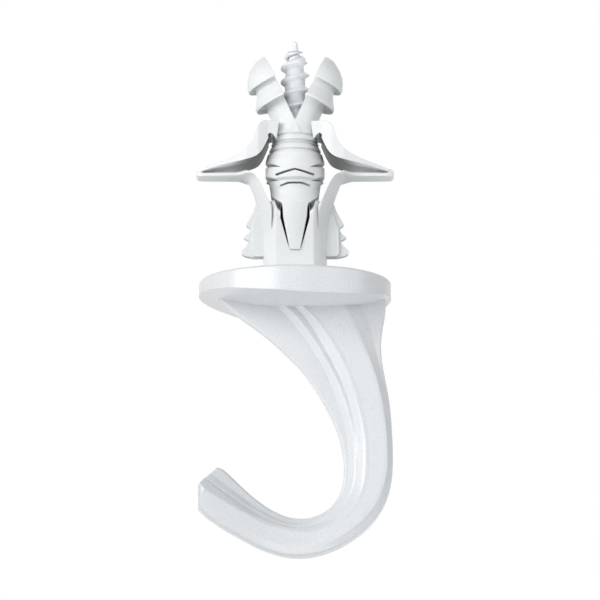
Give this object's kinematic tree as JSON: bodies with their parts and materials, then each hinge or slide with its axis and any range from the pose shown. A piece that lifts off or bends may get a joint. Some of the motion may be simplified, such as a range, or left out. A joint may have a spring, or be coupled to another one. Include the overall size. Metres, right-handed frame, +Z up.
{
  "type": "ceiling hook",
  "caption": "Moulded ceiling hook: a ribbed J arm under a round plate, with a threaded stem held in a hollow-wall toggle anchor whose wings stand open",
  "frame": {"origin": "centre of the plate's upper face, the face that meets the ceiling, on the screw's axis", "axes": "+Z up along the screw into the ceiling, the arm in the XZ plane with its mouth towards -X"},
  "size_m": [0.0248, 0.024, 0.0658],
  "materials": {
    "hook_plastic": "pale lilac-grey moulded plastic, satin gloss",
    "anchor_plastic": "white moulded polypropylene, semi-matt"
  },
  "bodies": {
    "root": {"hook": "hook_plastic", "toggle_anchor": "anchor_plastic"}
  },
  "joints": []
}
